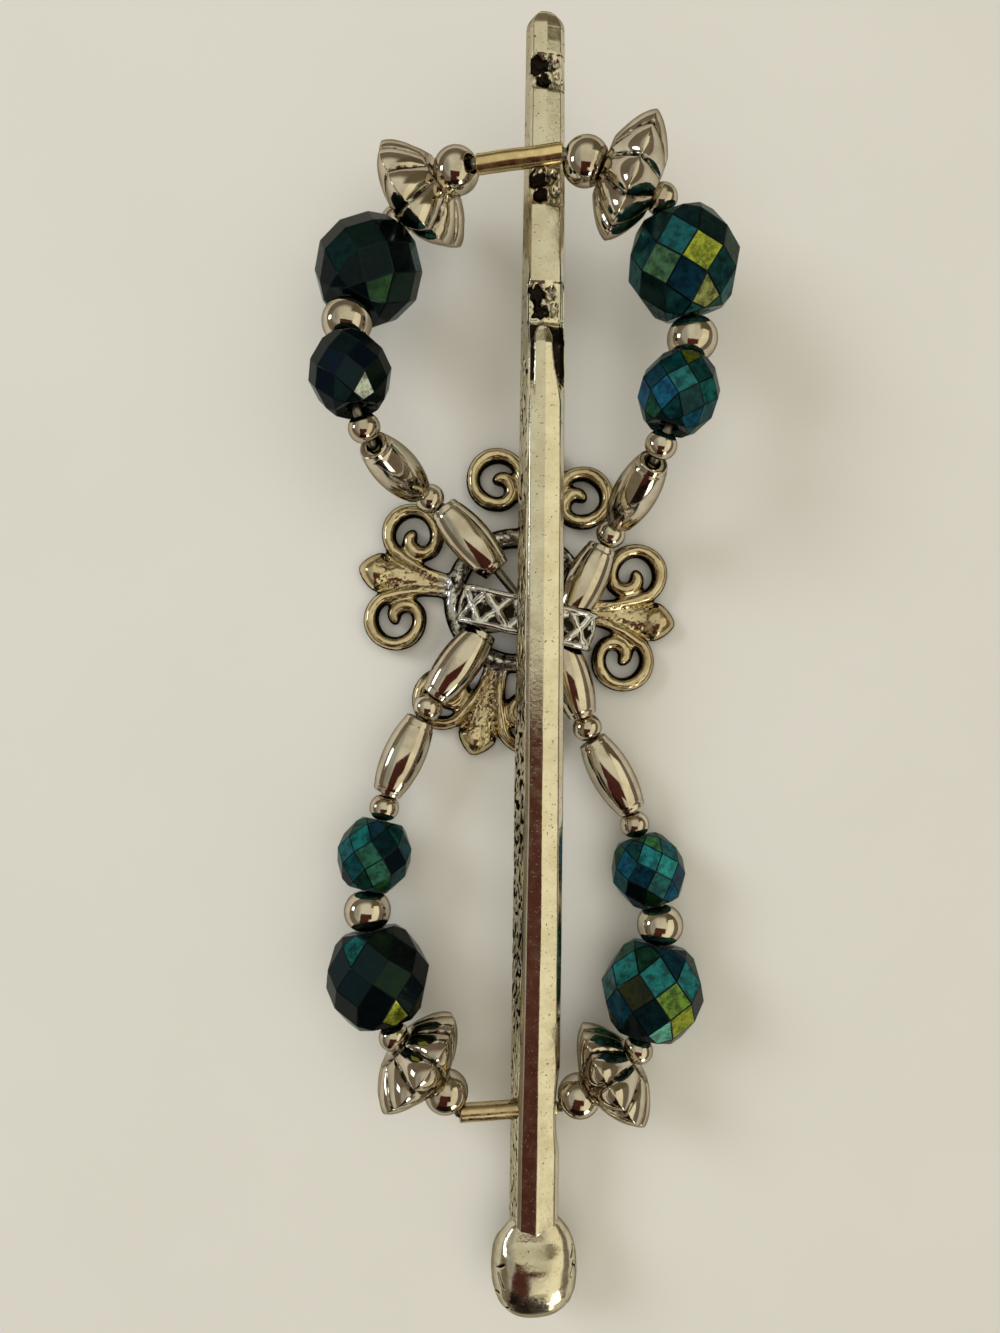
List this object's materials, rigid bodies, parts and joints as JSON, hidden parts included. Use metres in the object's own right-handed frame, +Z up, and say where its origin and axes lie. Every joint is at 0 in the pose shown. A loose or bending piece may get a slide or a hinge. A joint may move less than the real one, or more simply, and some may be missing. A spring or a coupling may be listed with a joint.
{
  "type": "beaded hair barrette",
  "caption": "Flexible figure-eight hair barrette of glass and metal beads on wire, with a long notched pin and a cast scroll cross, lying on its face.",
  "frame": {"origin": "middle of the clip's bounding box in plan, on the surface that it lies on", "axes": "+Y along the clip to the tip of the pin, +X to the right seen from the back, +Z up from the surface, out of the clip's back"},
  "size_m": [0.0305, 0.0969, 0.0164],
  "materials": {
    "bead_metal": "polished antique silver plate with dark patina in the hollows",
    "pin_metal": "polished antique silver plate",
    "bar_metal": "worn plate, brassy",
    "cast_metal": "antique silver plate over brass, dark in the recesses",
    "glass": "fire polished dark glass with an iris coat of blue, teal and yellow green"
  },
  "bodies": {
    "beaded_frame": {"upper_left_inner_barrel": "bead_metal", "upper_left_inner_seed": "bead_metal", "upper_left_outer_barrel": "bead_metal", "upper_left_outer_seed": "bead_metal", "upper_left_small_glass": "glass", "upper_left_spacer": "bead_metal", "upper_left_large_glass": "glass", "upper_left_end_seed": "bead_metal", "upper_left_fluted": "bead_metal", "upper_left_end_round": "bead_metal", "upper_right_inner_barrel": "bead_metal", "upper_right_inner_seed": "bead_metal", "upper_right_outer_barrel": "bead_metal", "upper_right_outer_seed": "bead_metal", "upper_right_small_glass": "glass", "upper_right_spacer": "bead_metal", "upper_right_large_glass": "glass", "upper_right_end_seed": "bead_metal", "upper_right_fluted": "bead_metal", "upper_right_end_round": "bead_metal", "lower_left_inner_barrel": "bead_metal", "lower_left_inner_seed": "bead_metal", "lower_left_outer_barrel": "bead_metal", "lower_left_outer_seed": "bead_metal", "lower_left_small_glass": "glass", "lower_left_spacer": "bead_metal", "lower_left_large_glass": "glass", "lower_left_end_seed": "bead_metal", "lower_left_fluted": "bead_metal", "lower_left_end_round": "bead_metal", "lower_right_inner_barrel": "bead_metal", "lower_right_inner_seed": "bead_metal", "lower_right_outer_barrel": "bead_metal", "lower_right_outer_seed": "bead_metal", "lower_right_small_glass": "glass", "lower_right_spacer": "bead_metal", "lower_right_large_glass": "glass", "lower_right_end_seed": "bead_metal", "lower_right_fluted": "bead_metal", "lower_right_end_round": "bead_metal", "top_bar": "bar_metal", "bottom_bar": "bar_metal", "centrepiece": "cast_metal", "wire_a": "bar_metal", "wire_b": "bar_metal"},
    "pin": {"pin": "pin_metal"}
  },
  "joints": [
    {"name": "pin_hinge", "type": "hinge", "parent": "beaded_frame", "child": "pin", "pos_m": [0.00085, -0.0321, 0.00525], "axis": [0.9877, 0, -0.1564], "range_deg": [0, 0.3]}
  ]
}
